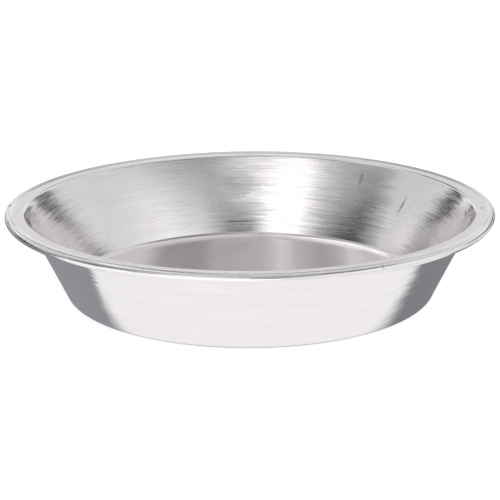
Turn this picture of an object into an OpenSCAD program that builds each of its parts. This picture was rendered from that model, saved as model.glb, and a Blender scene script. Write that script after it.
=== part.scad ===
// Pie pan of bare aluminium, spun from one round sheet.
// It has a flat floor, a straight leaning wall, a flat flange and a hollow bead rolled under at the edge.
// +Z points up. The origin is the middle of the underside of the floor, where the pan rests.

/* [Pan] */
// Diameter over the rolled bead
rim_d = 229; // [180:1:360]
// Height from the underside of the floor to the top of the bead
pan_h = 41.5; // [20:0.5:60]
// Lean of the wall away from upright, in degrees
wall_lean = 25.7; // [5:0.1:40]
// Thickness of the sheet
sheet_t = 0.7; // [0.4:0.05:1]

/* [Bends] */
// Radius inside the pan, where the floor turns up into the wall
foot_bend_r = 3.4; // [1:0.1:12]
// Radius under the lip, where the wall turns out into the flange
lip_bend_r = 0.7; // [0.2:0.1:3]

/* [Rim] */
// Width of the flat of the flange
flange_w = 3.3; // [1:0.1:15]
// Diameter of the rolled bead
bead_d = 3.8; // [2.8:0.1:6]
// Height of the top of the bead above the top of the flange
bead_rise = 0.6; // [0.2:0.1:1]
// Radius on top of the sweep that lifts the flange onto the bead
sweep_r = 6.2; // [1:0.1:10]
// Gap between the raw edge of the sheet and the flange above it
curl_gap = 0.3; // [0.1:0.1:0.4]

/* [Hidden] */

$fn = 240;

// Reach of the tie inside the sheet, to either side of a joint
join_reach = 0.05;

// The bead touches the overall diameter and the overall height.
bead_r = bead_d / 2;
bead_x = rim_d / 2 - bead_r;
flange_z = pan_h - bead_rise;

// The sweep is tangent to the flange and to the bead, so its turn follows from the rise.
sweep_turn = acos(1 - bead_rise / (bead_r + sweep_r));
sweep_x = bead_x - (bead_r + sweep_r) * sin(sweep_turn);

// The curl goes over the top and round, until the raw edge is a gap below the flange.
curl_turn = sweep_turn + 360 - acos((bead_r - bead_rise - sheet_t - curl_gap) / bead_r);

// Centres of the bends at the lip and at the foot
lip_x = sweep_x - flange_w;
lip_z = flange_z - sheet_t - lip_bend_r;
foot_z = sheet_t + foot_bend_r;
bends_across = lip_bend_r + sheet_t + foot_bend_r;
foot_x = lip_x - (bends_across + (lip_z - foot_z) * sin(wall_lean)) / cos(wall_lean);

// The foot and the lip turn the sheet by the same angle, and the wall is the straight between them.
wall_turn = 90 - wall_lean;
wall_w = (lip_x - foot_x) * sin(wall_lean) + (lip_z - foot_z) * cos(wall_lean);

// The section is drawn as the sheet runs, from the middle outwards. Each stretch is drawn with
// its outer face on the X axis and its start at the origin, and its child carries on from its end.
module straight(length) {
    square([length, sheet_t]);
    translate([length, 0])
        join()
            children();
}

// What carries on is tied to the stretch before it inside the sheet, so that rounding can't part the two.
module join() {
    translate([-join_reach, sheet_t / 4])
        square([2 * join_reach, sheet_t / 2]);
    children();
}

// What lies on one side of the Y axis, out to past a bend of the given outer radius
module side(outer_r, past) {
    clear = 2 * outer_r;
    translate([past ? 0 : -clear, -clear])
        square([clear, 2 * clear]);
}

// Sheet turned about the origin. It starts below the centre and runs to the right.
// Up to half a turn it loses both sides, and past that only what the two have in common.
module turned_ring(r, turn) {
    outer_r = r + sheet_t;
    difference() {
        circle(r = outer_r);
        circle(r = r);
        if (turn <= 180) {
            side(outer_r, past = false);
            rotate(turn)
                side(outer_r, past = true);
        } else {
            intersection() {
                side(outer_r, past = false);
                rotate(turn)
                    side(outer_r, past = true);
            }
        }
    }
}

// The sheet turns up, towards the inside of the pan.
module bend_up(r, turn) {
    centre_y = sheet_t + r;
    translate([0, centre_y]) {
        turned_ring(r, turn);
        rotate(turn)
            translate([0, -centre_y])
                join()
                    children();
    }
}

// The sheet turns down, towards the outside of the pan.
module bend_down(r, turn) {
    translate([0, -r]) {
        mirror([0, 1])
            turned_ring(r, turn);
        if ($children > 0)
            rotate(-turn)
                translate([0, r])
                    join()
                        children();
    }
}

module sheet_section() {
    straight(foot_x)
        bend_up(foot_bend_r, wall_turn)
            straight(wall_w)
                bend_down(lip_bend_r, wall_turn)
                    straight(flange_w)
                        bend_up(sweep_r, sweep_turn)
                            bend_down(bead_r - sheet_t, curl_turn);
}

module pie_pan() {
    color([0.80, 0.80, 0.81])
        rotate_extrude()
            sheet_section();
}

pie_pan();
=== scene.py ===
"""A bare aluminium pie pan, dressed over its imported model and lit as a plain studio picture."""
import math

import bpy
from mathutils import Matrix, Vector


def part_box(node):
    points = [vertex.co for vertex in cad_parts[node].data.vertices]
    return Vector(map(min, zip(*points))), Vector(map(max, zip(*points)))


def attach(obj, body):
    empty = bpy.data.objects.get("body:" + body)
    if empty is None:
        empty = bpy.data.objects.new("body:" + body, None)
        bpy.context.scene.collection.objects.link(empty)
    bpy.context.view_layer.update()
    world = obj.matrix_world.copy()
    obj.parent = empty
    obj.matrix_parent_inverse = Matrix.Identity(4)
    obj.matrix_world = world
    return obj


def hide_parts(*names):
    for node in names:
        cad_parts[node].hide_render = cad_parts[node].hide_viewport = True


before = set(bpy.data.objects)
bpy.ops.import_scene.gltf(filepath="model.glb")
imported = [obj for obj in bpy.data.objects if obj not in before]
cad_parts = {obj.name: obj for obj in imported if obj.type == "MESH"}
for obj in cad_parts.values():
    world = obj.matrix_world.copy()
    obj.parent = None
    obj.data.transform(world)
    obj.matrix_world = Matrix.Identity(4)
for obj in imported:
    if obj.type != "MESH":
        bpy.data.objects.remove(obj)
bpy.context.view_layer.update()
cad_low, cad_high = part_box("pie_pan")

MM = 0.001

# The sheet's section, as in the part's source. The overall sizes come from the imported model.
RIM_R = (cad_high.y - cad_low.y) / 2
PAN_H = cad_high.z
WALL_LEAN = math.radians(25.7)
SHEET_T = 0.7 * MM
FOOT_BEND_R = 3.4 * MM
LIP_BEND_R = 0.7 * MM
FLANGE_W = 3.3 * MM
BEAD_R = 1.9 * MM
BEAD_RISE = 0.6 * MM
SWEEP_R = 6.2 * MM
CURL_GAP = 0.3 * MM

# How finely the sheet is drawn. Its turns, in degrees, are closer together where a dent lies.
COARSE_STEP = 1.2
FINE_STEP = 0.25
FINE_TURNS = ((29.0, 42.2), (79.0, 107.0))
FLOOR_RINGS = 12
FOOT_RINGS = 9
WALL_RINGS = 42
LIP_RINGS = 7
FLANGE_RINGS = 6
SWEEP_RINGS = 6
BEAD_RINGS = 26
# Edges sharper than this, in degrees, aren't shaded smooth.
SHARP_ANGLE = 40

# Signs of use. Turns are in degrees from +X towards the back, and heights are on the wall.
# A narrow crease in the wall at the right. Its lean is in degrees of turn for each metre of height.
CREASE_TURN = 35.5
CREASE_LEAN = -0.17 / MM
CREASE_Z = 24.7 * MM
CREASE_HALF_H = 8.0 * MM
CREASE_HALF_W = 2.2 * MM
CREASE_DEPTH = 0.26 * MM
# A shallow dent in the wall at the back. Its flat bottom takes up the share DENT_FLAT of its reach.
DENT_TURN = 94.5
DENT_Z = 26.5 * MM
DENT_HALF_W = 12.0 * MM
DENT_HALF_H = 8.5 * MM
DENT_DEPTH = 0.035 * MM
DENT_FLAT = 0.82
# The wall bows a little towards the inside between its two bends.
WALL_BOW = 0.25 * MM
# The rim sags a little at the back left.
SAG_TURN = 136.0
SAG_REACH = 56.0
SAG_DEPTH = 0.40 * MM


def section_sizes():
    """Works out the lengths and turns along the sheet, from the middle of the floor to its raw edge."""
    flange_z = PAN_H - BEAD_RISE
    bead_x = RIM_R - BEAD_R
    sweep_turn = math.acos(1 - BEAD_RISE / (BEAD_R + SWEEP_R))
    sweep_x = bead_x - (BEAD_R + SWEEP_R) * math.sin(sweep_turn)
    curl_level = (BEAD_R - BEAD_RISE - SHEET_T - CURL_GAP) / BEAD_R
    curl_turn = sweep_turn + 2 * math.pi - math.acos(curl_level)
    lip_x = sweep_x - FLANGE_W
    rise = flange_z - SHEET_T - LIP_BEND_R - SHEET_T - FOOT_BEND_R
    bends_across = LIP_BEND_R + SHEET_T + FOOT_BEND_R
    run = (bends_across + rise * math.sin(WALL_LEAN)) / math.cos(WALL_LEAN)
    return {
        "foot_x": lip_x - run,
        "wall_turn": math.pi / 2 - WALL_LEAN,
        "wall_w": run * math.sin(WALL_LEAN) + rise * math.cos(WALL_LEAN),
        "sweep_turn": sweep_turn,
        "curl_turn": curl_turn,
    }


class SheetPath:
    """Follows the sheet's under face. A station is a place on it and the way up through the sheet."""

    def __init__(self):
        self.place = Vector((0.0, 0.0))
        self.heading = 0.0
        self.stations = []

    def add_station(self, place, heading):
        up = Vector((-math.sin(heading), math.cos(heading)))
        self.stations.append({"under": place.copy(), "up": up})

    def straight(self, length, rings, bow=0.0):
        """Goes straight on, or over a slight bow, with rings closer together towards its ends."""
        along = Vector((math.cos(self.heading), math.sin(self.heading)))
        up = Vector((-along.y, along.x))
        for ring in range(1, rings + 1):
            share = 0.5 - 0.5 * math.cos(math.pi * ring / rings)
            place = self.place + along * length * share + up * bow * 4 * share * (1 - share)
            self.add_station(place, self.heading)
        self.place = self.place + along * length

    def bend(self, inner_r, turn, rings):
        """Turns up for a positive turn and down for a negative one, with inner_r inside the bend."""
        centre_above = SHEET_T + inner_r if turn > 0 else -inner_r
        up = Vector((-math.sin(self.heading), math.cos(self.heading)))
        centre = self.place + up * centre_above
        for ring in range(1, rings + 1):
            heading = self.heading + turn * ring / rings
            turned_up = Vector((-math.sin(heading), math.cos(heading)))
            self.add_station(centre - turned_up * centre_above, heading)
        self.heading += turn
        self.place = self.stations[-1]["under"].copy()


def sheet_stations():
    """The section from the middle of the floor to the raw edge, in the order in which the sheet runs."""
    sizes = section_sizes()
    path = SheetPath()
    path.add_station(path.place, path.heading)
    path.straight(sizes["foot_x"], FLOOR_RINGS)
    path.bend(FOOT_BEND_R, sizes["wall_turn"], FOOT_RINGS)
    path.straight(sizes["wall_w"], WALL_RINGS, bow=WALL_BOW)
    path.bend(LIP_BEND_R, -sizes["wall_turn"], LIP_RINGS)
    path.straight(FLANGE_W, FLANGE_RINGS)
    path.bend(SWEEP_R, sizes["sweep_turn"], SWEEP_RINGS)
    path.bend(BEAD_R - SHEET_T, -sizes["curl_turn"], BEAD_RINGS)
    return path.stations


def face_points(stations, above):
    """The section's points at a height above the under face, each with the way up through the sheet."""
    return [(station["under"] + station["up"] * above, station["up"]) for station in stations]


def turns_round():
    """The turns at which the section is placed, in degrees."""
    turns = []
    turn = 0.0
    while turn < 360 - COARSE_STEP / 2:
        turns.append(turn)
        fine = any(low <= turn < high for low, high in FINE_TURNS)
        turn += FINE_STEP if fine else COARSE_STEP
    return turns


def hump(offset):
    """1 in the middle, falling smoothly to 0 where the offset reaches 1 either way."""
    return max(0.0, 1 - offset * offset) ** 2


def eased(share):
    """0 up to a share of 0 and 1 from a share of 1, with a smooth rise between them."""
    share = min(1.0, max(0.0, share))
    return share * share * (3 - 2 * share)


def dent_depth(point, turn):
    """How far the wall is pressed outwards at a point."""
    mid_turn = CREASE_TURN + CREASE_LEAN * (point.y - CREASE_Z)
    across = math.radians(turn - mid_turn) * point.x / CREASE_HALF_W
    along = (point.y - CREASE_Z) / CREASE_HALF_H
    depth = CREASE_DEPTH * hump(across) * hump(along)
    across = math.radians(turn - DENT_TURN) * point.x / DENT_HALF_W
    along = (point.y - DENT_Z) / DENT_HALF_H
    reach = math.hypot(across, along)
    return depth + DENT_DEPTH * eased((1 - reach) / (1 - DENT_FLAT))


def ring_of_vertices(point, up, turns):
    """One point of the section, placed at every turn round the pan with its dents and the rim's sag."""
    vertices = []
    for turn in turns:
        pressed = point - up * dent_depth(point, turn)
        sag = SAG_DEPTH * hump((turn - SAG_TURN) / SAG_REACH) * (point.y / PAN_H) ** 2
        angle = math.radians(turn)
        vertices.append((pressed.x * math.cos(angle), pressed.x * math.sin(angle), pressed.y - sag))
    return vertices


def build_pan():
    """The whole sheet as one closed mesh: out along its upper face and back along its under face."""
    stations = sheet_stations()
    turns = turns_round()
    segments = len(turns)
    upper = face_points(stations, SHEET_T)
    lower = face_points(stations, 0.0)
    outline = upper + list(reversed(lower))
    vertices = [(0.0, 0.0, upper[0][0].y)]
    for point, up in outline[1:-1]:
        vertices.extend(ring_of_vertices(point, up, turns))
    vertices.append((0.0, 0.0, lower[0][0].y))
    rings = len(outline) - 2
    last = len(vertices) - 1
    faces = []
    last_ring = 1 + (rings - 1) * segments
    for here in range(segments):
        there = (here + 1) % segments
        faces.append((0, 1 + here, 1 + there))
        for ring in range(rings - 1):
            start = 1 + ring * segments
            after = start + segments
            faces.append((start + here, after + here, after + there, start + there))
        faces.append((last_ring + here, last, last_ring + there))
    mesh = bpy.data.meshes.new("pan_sheet")
    mesh.from_pydata(vertices, [], faces)
    mesh.shade_smooth()
    mesh.set_sharp_from_angle(angle=math.radians(SHARP_ANGLE))
    mesh.update()
    pan = bpy.data.objects.new("pan_sheet", mesh)
    bpy.context.scene.collection.objects.link(pan)
    return pan


def new_material(name):
    material = bpy.data.materials.new(name)
    material.use_nodes = True
    nodes = material.node_tree.nodes
    nodes.clear()
    return material, nodes, material.node_tree.links


def plug(links, socket, value):
    """Sets a socket to a plain value or links another node's output to it."""
    if isinstance(value, bpy.types.NodeSocket):
        links.new(value, socket)
    else:
        socket.default_value = value


def number_node(nodes, links, operation, first, second=0.0):
    node = nodes.new("ShaderNodeMath")
    node.operation = operation
    plug(links, node.inputs[0], first)
    plug(links, node.inputs[1], second)
    return node.outputs["Value"]


def vector_node(nodes, links, operation, first, second):
    node = nodes.new("ShaderNodeVectorMath")
    node.operation = operation
    plug(links, node.inputs[0], first)
    if operation == "SCALE":
        plug(links, node.inputs["Scale"], second)
    else:
        plug(links, node.inputs[1], second)
    return node.outputs["Vector"]


def combine_node(nodes, links, x, y, z):
    node = nodes.new("ShaderNodeCombineXYZ")
    for socket, value in zip(node.inputs, (x, y, z)):
        plug(links, socket, value)
    return node.outputs["Vector"]


def remap(nodes, links, value, lows, highs, smooth=False):
    """Takes the value from lows[0] to highs[0] over to lows[1] to highs[1], and no further."""
    node = nodes.new("ShaderNodeMapRange")
    node.interpolation_type = "SMOOTHSTEP" if smooth else "LINEAR"
    plug(links, node.inputs["Value"], value)
    node.inputs["From Min"].default_value = lows[0]
    node.inputs["From Max"].default_value = highs[0]
    node.inputs["To Min"].default_value = lows[1]
    node.inputs["To Max"].default_value = highs[1]
    return node.outputs["Result"]


def soft_step(nodes, links, value, edge):
    """Rises smoothly from 0 to 1 while the value goes from 0 to the edge."""
    return remap(nodes, links, value, (0, 0), (edge, 1), smooth=True)


# The metal. The tint is what clean aluminium reflects, a little warm.
METAL_TINT = (0.925, 0.895, 0.893)
# Brushing spreads a gleam across the lines much more than along them. The quarter turn sets which way.
ANISOTROPY = 0.90
ANISOTROPY_TURN = 0.25
WALL_ROUGHNESS = 0.13
FLOOR_ROUGHNESS = 0.16
FLANGE_ROUGHNESS = 0.11
BEAD_ROUGHNESS = 0.16
ROUGHNESS_SPREAD = 0.09
# The lines that spinning left: how wide they are, and how many lie end to end round the pan
FINE_LINE_W = 0.45 * MM
FINE_LINES_ROUND = 40
TILT_LINE_W = 0.9 * MM
TILT_LINES_ROUND = 22
BROAD_LINE_W = 4.0 * MM
BROAD_LINES_ROUND = 15
LINE_DETAIL = 3
# The most that the lines darken, tilt and raise the face
FINE_SHADE = 0.06
BROAD_SHADE = 0.05
LINE_TILT = 0.045
BROAD_TILT = 0.012
LINE_BUMP = 0.004 * MM
# Some lines and grains are rougher than the rest.
ROUGH_LINES = 0.16
GRAIN_W = 0.55 * MM
ROUGH_GRAIN = 0.08
# Where one region of the pan passes over into the next, by height or by distance from the axis
FOOT_HEIGHTS = (1.0 * MM, 3.0 * MM)
LINED_HEIGHTS = (3.5 * MM, 6.0 * MM)
LIP_RADII = (105.5 * MM, 107.0 * MM)
BEAD_RADII = (110.0 * MM, 112.0 * MM)
# How much of the lines' tilt and roughness is left below that, on the floor and the foot
FLOOR_SHARE = 0.15

# Dark marks on the upper face: turn from +X in degrees, distance from the axis plus height, half width round
# the pan, half length across it, and how much light each takes away
DARK_MARKS = {
    "streak_on_the_wall": (54.3, 134.0 * MM, 1.1 * MM, 6.0 * MM, 0.30),
    "shade_round_the_streak": (52.0, 137.0 * MM, 12.0 * MM, 6.0 * MM, 0.10),
    "line_low_on_the_back_wall": (93.9, 97.3 * MM, 10.0 * MM, 0.7 * MM, 0.55),
    "spot_on_the_left_of_the_bead": (-178.6, 154.6 * MM, 3.0 * MM, 0.8 * MM, 0.90),
    "spot_on_the_right_of_the_flange": (-4.8, 149.6 * MM, 2.2 * MM, 0.7 * MM, 0.50),
    "nick_on_the_front_of_the_bead": (-61.9, 154.4 * MM, 0.5 * MM, 1.6 * MM, 0.25),
}
# A scuffed patch, given the same way, and how much rougher it is
SCUFF = (93.0, 125.0 * MM, 12.0 * MM, 11.0 * MM)
SCUFF_ROUGH = 0.04


class SheetNodes:
    """Where a point lies on the pan, as shader nodes: its distance from the axis, turn and height."""

    def __init__(self, nodes, links):
        self.nodes = nodes
        self.links = links
        spot = nodes.new("ShaderNodeTexCoord")
        split = nodes.new("ShaderNodeSeparateXYZ")
        links.new(spot.outputs["Object"], split.inputs["Vector"])
        self.x = split.outputs["X"]
        self.y = split.outputs["Y"]
        self.height = split.outputs["Z"]
        squares = number_node(nodes, links, "ADD", self.square(self.x), self.square(self.y))
        radius = number_node(nodes, links, "SQRT", squares)
        self.radius = number_node(nodes, links, "MAXIMUM", radius, 0.1 * MM)
        self.cosine = number_node(nodes, links, "DIVIDE", self.x, self.radius)
        self.sine = number_node(nodes, links, "DIVIDE", self.y, self.radius)
        self.way = number_node(nodes, links, "ADD", self.radius, self.height)
        self.turn = number_node(nodes, links, "ARCTAN2", self.y, self.x)
        self.object_place = spot.outputs["Object"]
        facing = nodes.new("ShaderNodeSeparateXYZ")
        links.new(spot.outputs["Normal"], facing.inputs["Vector"])
        self.upper_face = remap(nodes, links, facing.outputs["Z"], (0, 0), (0.1, 1))

    def square(self, value):
        return number_node(self.nodes, self.links, "MULTIPLY", value, value)

    def lines(self, width, lines_round, shift):
        """Noise drawn out round the pan, from 0 to 1. The shift keeps one set of lines apart from another."""
        nodes = self.nodes
        links = self.links
        reach = lines_round / (2 * math.pi)
        x = number_node(nodes, links, "MULTIPLY", self.cosine, reach)
        y = number_node(nodes, links, "MULTIPLY", self.sine, reach)
        z = number_node(nodes, links, "MULTIPLY_ADD", self.way, 1 / width)
        z.node.inputs[2].default_value = shift
        noise = nodes.new("ShaderNodeTexNoise")
        noise.inputs["Scale"].default_value = 1.0
        noise.inputs["Detail"].default_value = LINE_DETAIL
        noise.inputs["Roughness"].default_value = 0.6
        links.new(combine_node(nodes, links, x, y, z), noise.inputs["Vector"])
        return remap(nodes, links, noise.outputs["Fac"], (0.25, 0), (0.75, 1))

    def grain(self, width):
        """Noise without a direction, from 0 to 1, with most of it at 0."""
        noise = self.nodes.new("ShaderNodeTexNoise")
        noise.inputs["Scale"].default_value = 1 / width
        noise.inputs["Detail"].default_value = 1
        self.links.new(self.object_place, noise.inputs["Vector"])
        return remap(self.nodes, self.links, noise.outputs["Fac"], (0.5, 0), (0.8, 1))

    def mark(self, turn, way, half_w, half_way):
        """A mark on the upper face: 1 inside, fading to 0 at its edge. The turn is in degrees from +X."""
        nodes = self.nodes
        links = self.links
        off_turn = number_node(nodes, links, "SUBTRACT", self.turn, math.radians(turn))
        off_turn = number_node(nodes, links, "MULTIPLY", off_turn, self.radius)
        off_turn = number_node(nodes, links, "DIVIDE", off_turn, half_w)
        off_way = number_node(nodes, links, "SUBTRACT", self.way, way)
        off_way = number_node(nodes, links, "DIVIDE", off_way, half_way)
        reach = number_node(nodes, links, "ADD", self.square(off_turn), self.square(off_way))
        inside = remap(nodes, links, reach, (0.3, 1), (1, 0), smooth=True)
        return number_node(nodes, links, "MULTIPLY", inside, self.upper_face)

    def tangent(self):
        """The direction round the pan."""
        back = number_node(self.nodes, self.links, "MULTIPLY", self.sine, -1.0)
        return combine_node(self.nodes, self.links, back, self.cosine, 0.0)


def aluminium():
    """Bare metal with the lines of spinning, each of which shades, roughens and tilts the face a little."""
    material, nodes, links = new_material("brushed_aluminium")
    sheet = SheetNodes(nodes, links)
    fine = sheet.lines(FINE_LINE_W, FINE_LINES_ROUND, 0.0)
    broad = sheet.lines(BROAD_LINE_W, BROAD_LINES_ROUND, 40.0)
    tilting = sheet.lines(TILT_LINE_W, TILT_LINES_ROUND, 90.0)

    fine_shade = remap(nodes, links, fine, (0, 1 - FINE_SHADE), (1, 1))
    broad_shade = remap(nodes, links, broad, (0, 1 - BROAD_SHADE), (1, 1))
    shade = number_node(nodes, links, "MULTIPLY", fine_shade, broad_shade)
    for turn, way, half_w, half_way, darkness in DARK_MARKS.values():
        mark = sheet.mark(turn, way, half_w, half_way)
        left = remap(nodes, links, mark, (0, 1), (1, 1 - darkness))
        shade = number_node(nodes, links, "MULTIPLY", shade, left)
    colour = vector_node(nodes, links, "SCALE", METAL_TINT, shade)

    above_foot = remap(nodes, links, sheet.height, (FOOT_HEIGHTS[0], 0), (FOOT_HEIGHTS[1], 1), smooth=True)
    not_lined = (LINED_HEIGHTS[0], FLOOR_SHARE)
    lined = remap(nodes, links, sheet.height, not_lined, (LINED_HEIGHTS[1], 1), smooth=True)
    past_lip = remap(nodes, links, sheet.radius, (LIP_RADII[0], 0), (LIP_RADII[1], 1), smooth=True)
    on_bead = remap(nodes, links, sheet.radius, (BEAD_RADII[0], 0), (BEAD_RADII[1], 1), smooth=True)
    roughness = remap(nodes, links, above_foot, (0, FLOOR_ROUGHNESS), (1, WALL_ROUGHNESS))
    to_flange = remap(nodes, links, past_lip, (0, 0), (1, FLANGE_ROUGHNESS - WALL_ROUGHNESS))
    to_bead = remap(nodes, links, on_bead, (0, 0), (1, BEAD_ROUGHNESS - FLANGE_ROUGHNESS))
    roughness = number_node(nodes, links, "ADD", roughness, to_flange)
    roughness = number_node(nodes, links, "ADD", roughness, to_bead)
    spread = remap(nodes, links, fine, (0, -ROUGHNESS_SPREAD / 2), (1, ROUGHNESS_SPREAD / 2))
    roughness = number_node(nodes, links, "ADD", roughness, spread)
    rough_lines = remap(nodes, links, fine, (0.60, 0), (0.95, ROUGH_LINES))
    rough_grain = remap(nodes, links, sheet.grain(GRAIN_W), (0, 0), (1, ROUGH_GRAIN))
    rough_spots = number_node(nodes, links, "ADD", rough_lines, rough_grain)
    rough_spots = number_node(nodes, links, "MULTIPLY", rough_spots, lined)
    roughness = number_node(nodes, links, "ADD", roughness, rough_spots)
    scuffed = remap(nodes, links, sheet.mark(*SCUFF), (0, 0), (1, SCUFF_ROUGH))
    roughness = number_node(nodes, links, "ADD", roughness, scuffed)

    bump = nodes.new("ShaderNodeBump")
    bump.inputs["Strength"].default_value = 1.0
    bump.inputs["Distance"].default_value = LINE_BUMP
    links.new(fine, bump.inputs["Height"])
    tilt = remap(nodes, links, tilting, (0, -LINE_TILT), (1, LINE_TILT))
    broad_tilt = remap(nodes, links, broad, (0, -BROAD_TILT), (1, BROAD_TILT))
    tilt = number_node(nodes, links, "ADD", tilt, broad_tilt)
    tilt = number_node(nodes, links, "MULTIPLY", tilt, lined)
    lean = vector_node(nodes, links, "SCALE", sheet.tangent(), tilt)
    normal = vector_node(nodes, links, "ADD", bump.outputs["Normal"], lean)
    normal = vector_node(nodes, links, "NORMALIZE", normal, (0, 0, 0))

    shader = nodes.new("ShaderNodeBsdfPrincipled")
    shader.inputs["Metallic"].default_value = 1.0
    shader.inputs["Anisotropic"].default_value = ANISOTROPY
    shader.inputs["Anisotropic Rotation"].default_value = ANISOTROPY_TURN
    tangent = nodes.new("ShaderNodeTangent")
    tangent.direction_type = "RADIAL"
    tangent.axis = "Z"
    links.new(tangent.outputs["Tangent"], shader.inputs["Tangent"])
    links.new(colour, shader.inputs["Base Color"])
    links.new(roughness, shader.inputs["Roughness"])
    links.new(normal, shader.inputs["Normal"])
    output = nodes.new("ShaderNodeOutputMaterial")
    links.new(shader.outputs["BSDF"], output.inputs["Surface"])
    return material


# The camera, on the -Y side of the pan. Its place is from the pan's origin, and its turns are in radians.
CAMERA_BACK = 635.2 * MM
CAMERA_UP = 206.6 * MM
CAMERA_PITCH = 0.2884
CAMERA_ROLL = 0.0037
CAMERA_LENS = 99.86


def make_camera():
    camera = bpy.data.objects.new("camera", bpy.data.cameras.new("camera"))
    bpy.context.scene.collection.objects.link(camera)
    camera.data.lens = CAMERA_LENS
    camera.data.sensor_width = 36
    camera.data.clip_start = 0.01
    camera.data.clip_end = 100
    place = Matrix.Translation((0, -CAMERA_BACK, CAMERA_UP))
    tilt = Matrix.Rotation(math.pi / 2 - CAMERA_PITCH, 4, "X")
    roll = Matrix.Rotation(-CAMERA_ROLL, 4, "Z")
    camera.matrix_world = place @ tilt @ roll
    bpy.context.scene.camera = camera


def make_world():
    """A plain white world."""
    world = bpy.data.worlds.new("studio")
    bpy.context.scene.world = world
    world.use_nodes = True
    nodes = world.node_tree.nodes
    background = nodes["Background"]
    background.inputs["Color"].default_value = (1, 1, 1, 1)
    background.inputs["Strength"].default_value = 1.0


# Light round the pan. Each card is part of a large sphere round the pan: a softbox where it is bright and a
# flag where it is dark. The metal shows them and the white world between them, and the camera sees none.
# A card of a higher order lies a step further in, or higher on the floor, and so in front of the others.
# The floor lies just under the pan, so that the two share no face.
SPHERE_R = 3.0
CARD_STEP = 0.03
FLOOR_R = 6.0
FLOOR_LEVEL = -0.3 * MM
FLOOR_CARD_LEVEL = -0.25 * MM
FLOOR_CARD_STEP = 0.05 * MM
FLOOR_COLOUR = 0.50
FLOOR_GLOW = 0.80
WHITE = (1.0, 1.0, 1.0, 1.0)
COOL_GREY = (0.975, 0.985, 1.08, 1.0)
DEEP_BLUE = (0.3, 0.4, 1.0, 1.0)


def card_material(name, strength, colour, side_share, low_share, high_share):
    """Light or shade that fades out at a card's edges, each over its share of the card's size."""
    material, nodes, links = new_material(name)
    place = nodes.new("ShaderNodeUVMap")
    split = nodes.new("ShaderNodeSeparateXYZ")
    links.new(place.outputs["UV"], split.inputs["Vector"])
    across = split.outputs["X"]
    up = split.outputs["Y"]
    mask = soft_step(nodes, links, up, low_share)
    fades = [(up, high_share)]
    if side_share > 0:
        fades.append((across, side_share))
        mask = number_node(nodes, links, "MULTIPLY", mask, soft_step(nodes, links, across, side_share))
    for value, share in fades:
        if share > 0:
            from_end = number_node(nodes, links, "SUBTRACT", 1.0, value)
            mask = number_node(nodes, links, "MULTIPLY", mask, soft_step(nodes, links, from_end, share))
    clear = nodes.new("ShaderNodeBsdfTransparent")
    light = nodes.new("ShaderNodeEmission")
    light.inputs["Color"].default_value = colour
    light.inputs["Strength"].default_value = strength
    mix = nodes.new("ShaderNodeMixShader")
    links.new(mask, mix.inputs["Fac"])
    links.new(clear.outputs["BSDF"], mix.inputs[1])
    links.new(light.outputs["Emission"], mix.inputs[2])
    output = nodes.new("ShaderNodeOutputMaterial")
    links.new(mix.outputs["Shader"], output.inputs["Surface"])
    return material


def even_shares(count):
    """Shares of a length, from 0 to 1, in even steps."""
    return [i / count for i in range(count + 1)]


def growing_shares(count, growth):
    """Shares of a length whose steps grow, so that the last end is growth times as far off as the first."""
    return [(growth ** (i / count) - 1) / (growth - 1) for i in range(count + 1)]


def grid_object(name, columns, rows, place_at):
    """A grid of faces whose corners come from place_at, with its columns and rows as texture coordinates."""
    vertices = []
    spots = []
    for column in columns:
        for row in rows:
            vertices.append(place_at(column, row))
            spots.append((column, row))
    faces = []
    per_column = len(rows)
    for column in range(len(columns) - 1):
        for row in range(per_column - 1):
            corner = column * per_column + row
            faces.append((corner, corner + per_column, corner + per_column + 1, corner + 1))
    mesh = bpy.data.meshes.new(name)
    mesh.from_pydata(vertices, [], faces)
    spread = mesh.uv_layers.new(name="spread")
    for loop in mesh.loops:
        spread.data[loop.index].uv = spots[loop.vertex_index]
    piece = bpy.data.objects.new(name, mesh)
    bpy.context.scene.collection.objects.link(piece)
    return piece


def make_card(order, name, azimuth, width, side_edge, low, high, end_edge, strength, colour=WHITE):
    """A card on the sphere, placed in degrees. Azimuth 0 is the camera's side and 90 is the right.

    It has a width about its azimuth and reaches from a low to a high elevation. Each edge is the stretch
    over which it fades out.
    """
    radius = SPHERE_R - CARD_STEP * order
    whole = width >= 360
    span = 360 if whole else width + side_edge
    bottom = low - end_edge / 2
    top = 90 if high >= 90 else high + end_edge / 2

    def place_at(across, up):
        az = math.radians(azimuth + span * (across - 0.5))
        el = math.radians(bottom + (top - bottom) * up)
        flat = radius * math.cos(el)
        return (flat * math.sin(az), -flat * math.cos(az), radius * math.sin(el))

    card = grid_object(name, even_shares(36), even_shares(12), place_at)
    side_share = 0 if whole else side_edge / span
    end_share = end_edge / (top - bottom)
    high_share = 0 if high >= 90 else end_share
    card.data.materials.append(card_material(name, strength, colour, side_share, end_share, high_share))
    card.visible_camera = False


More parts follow.
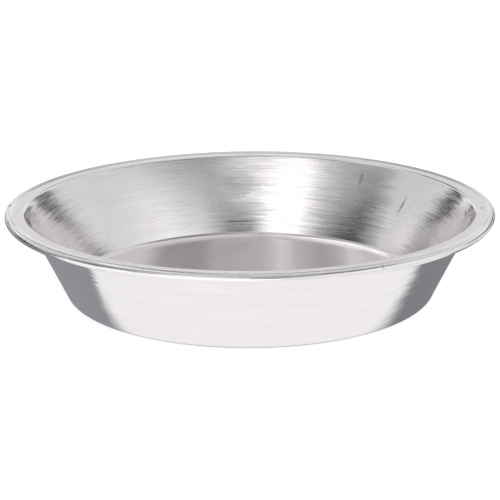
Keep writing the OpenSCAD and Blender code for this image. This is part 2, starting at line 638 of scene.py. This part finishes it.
def make_cards():
    """Softboxes, flags and grey cards, each in front of those before it."""
    make_card(0, "ceiling_flag", 0, 360, 0, 76, 90, 17, 0.17)
    make_card(1, "left_grey", -71, 129, 8.5, 17, 53, 2, 0.66)
    make_card(2, "right_grey", 78, 110, 5.5, 15, 51, 1.5, 0.81)
    make_card(3, "back_flag", 185, 54, 11, 25, 63, 24, 0.02, DEEP_BLUE)
    make_card(4, "key_softbox", -15, 53, 30, -20, 43.5, 6.5, 1.85)
    make_card(5, "left_grey_strip", -78, 33, 6, 9, 70, 1, 0.53)
    make_card(6, "back_left_flag", -134, 40, 14, 6, 13.5, 5, 0.02, DEEP_BLUE)
    make_card(7, "camera_flag", 8, 33, 22, 14, 37, 4, 0.02, DEEP_BLUE)
    make_card(8, "back_right_flag", 136, 48, 12, 4.5, 14, 4, 0.11)
    make_card(9, "front_high_flag", 73, 136, 118, 37, 66, 50, 0.02, DEEP_BLUE)
    make_card(10, "back_low_flag", 180, 11, 4, -12, 9, 1, 0.02, DEEP_BLUE)
    make_card(11, "left_band_flag", -47, 78, 23.5, 17, 30, 1, 0.02, DEEP_BLUE)
    make_card(12, "back_left_top_softbox", -151, 10.5, 3.5, 43, 90, 8, 1.89)
    make_card(13, "back_right_top_grey", 141, 92, 6.5, 33, 90, 24, 0.74)
    make_card(14, "left_low_flag", -98, 61, 9.5, -12, 11, 4, 0.02, DEEP_BLUE)
    make_card(15, "left_top_grey", -78, 37, 7, 40, 90, 3, 0.40)
    make_card(16, "right_softbox", 55, 55, 56, 4, 36, 9.5, 1.03)
    make_card(17, "front_top_grey", 0, 80, 24, 60, 90, 4, 0.57)
    make_card(18, "front_top_left_grey", -60, 30, 14, 60, 84, 4, 0.54)
    make_card(19, "front_top_right_grey", 68, 34, 16, 60, 84, 4, 0.36)
    make_card(20, "front_top_patch", -37, 20, 12, 60, 82, 4, 0.95)
    make_card(21, "front_line_flag", 0, 130, 30, 49, 57, 2, 0.03)
    make_card(22, "back_right_grey", 166, 20, 10, 8, 26, 4, 0.74)
    make_card(23, "back_left_grey", -166, 16, 8, 8, 24, 4, 0.76)


def make_floor():
    """A white floor. Part of its white is a glow, so the pan's shadow on it stays light."""

    def place_at(across, up):
        return (FLOOR_R * (2 * across - 1), FLOOR_R * (2 * up - 1), FLOOR_LEVEL)

    floor = grid_object("floor", even_shares(8), even_shares(8), place_at)
    material, nodes, links = new_material("floor_paper")
    matt = nodes.new("ShaderNodeBsdfDiffuse")
    matt.inputs["Color"].default_value = (FLOOR_COLOUR, FLOOR_COLOUR, FLOOR_COLOUR, 1)
    path = nodes.new("ShaderNodeLightPath")
    seen = number_node(nodes, links, "MAXIMUM", path.outputs["Is Camera Ray"], path.outputs["Is Glossy Ray"])
    seen = number_node(nodes, links, "MAXIMUM", seen, path.outputs["Is Transmission Ray"])
    glow = nodes.new("ShaderNodeEmission")
    links.new(number_node(nodes, links, "MULTIPLY", seen, FLOOR_GLOW), glow.inputs["Strength"])
    both = nodes.new("ShaderNodeAddShader")
    links.new(matt.outputs["BSDF"], both.inputs[0])
    links.new(glow.outputs["Emission"], both.inputs[1])
    output = nodes.new("ShaderNodeOutputMaterial")
    links.new(both.outputs["Shader"], output.inputs["Surface"])
    floor.data.materials.append(material)


def place_floor_card(card, material):
    """Only metal shows a card on the floor. The camera sees the floor through it, and it throws no shadow."""
    card.data.materials.append(material)
    card.visible_camera = False
    card.visible_diffuse = False
    card.visible_shadow = False


def make_floor_fan(order, name, azimuth, width, side_edge, near_edge, far_edge, end_edge, strength):
    """A card on the floor, of a width about an azimuth in degrees and between two radii in mm."""
    whole = width >= 360
    span = 360 if whole else width + side_edge
    side_share = 0 if whole else side_edge / span
    near = near_edge - end_edge / 2
    far = far_edge + end_edge / 2
    level = FLOOR_CARD_LEVEL + FLOOR_CARD_STEP * order

    def place_at(across, out):
        az = math.radians(azimuth + span * (across - 0.5))
        r = (near + (far - near) * out) * MM
        return (r * math.sin(az), -r * math.cos(az), level)

    card = grid_object(name, even_shares(72), growing_shares(36, far / near), place_at)
    end_share = end_edge / (far - near)
    place_floor_card(card, card_material(name, strength, WHITE, side_share, end_share, end_share))


def make_floor_panel(order, name, left, right, front, back, edge, turn, strength, colour=WHITE):
    """A straight card on the floor, with its edges in mm from the pan's axis and its turn in degrees."""
    level = FLOOR_CARD_LEVEL + FLOOR_CARD_STEP * order
    wide = right - left + edge
    deep = back - front + edge
    turned = Matrix.Rotation(math.radians(turn), 4, "Z")

    def place_at(across, up):
        x = (left - edge / 2 + wide * across) * MM
        y = (front - edge / 2 + deep * up) * MM
        return turned @ Vector((x, y, level))

    card = grid_object(name, (0, 1), (0, 1), place_at)
    place_floor_card(card, card_material(name, strength, colour, edge / wide, edge / deep, edge / deep))


def make_floor_cards():
    """What the metal sees of the floor, with painted light and shade: white in front, grey behind as painted
    shade, and a dim ring close to the pan as painted contact shadow.
    """
    make_floor_panel(0, "front_panel", -300, 300, -300, 0, 12, 0, 0.98)
    # Painted shade: these grey panels stand in for the shaded floor behind and beside the pan, and only the
    # metal sees them.
    make_floor_panel(1, "back_shade_panel", -2900, 2900, -55, 2900, 6, 3, 0.27, COOL_GREY)
    make_floor_panel(2, "right_corner_shade_panel", 0, 130, -80, 10, 10, 18, 0.235, COOL_GREY)
    make_floor_panel(3, "left_corner_shade_panel", -130, 0, -79, 10, 8, -15, 0.305, COOL_GREY)
    # Painted contact shadow: a dim ring on the floor close to the pan, seen only in the metal.
    make_floor_fan(4, "contact_shadow_ring", 0, 360, 0, 60, 86, 2, 0.35)
    # Painted light and shade on the far floor, seen only in the metal: a bright stretch to the front left and
    # a light grey one to the right.
    make_floor_fan(5, "right_far_fan", 66, 111, 11.5, 160, 900, 22, 0.84)
    make_floor_fan(6, "left_far_fan", -34, 78, 17, 181, 900, 19, 1.20)


def main():
    pan = build_pan()
    pan.data.materials.append(aluminium())
    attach(pan, "root")
    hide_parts("pie_pan")
    make_camera()
    make_world()
    make_floor()
    make_floor_cards()
    make_cards()
    bpy.context.scene.view_settings.view_transform = "Standard"


main()
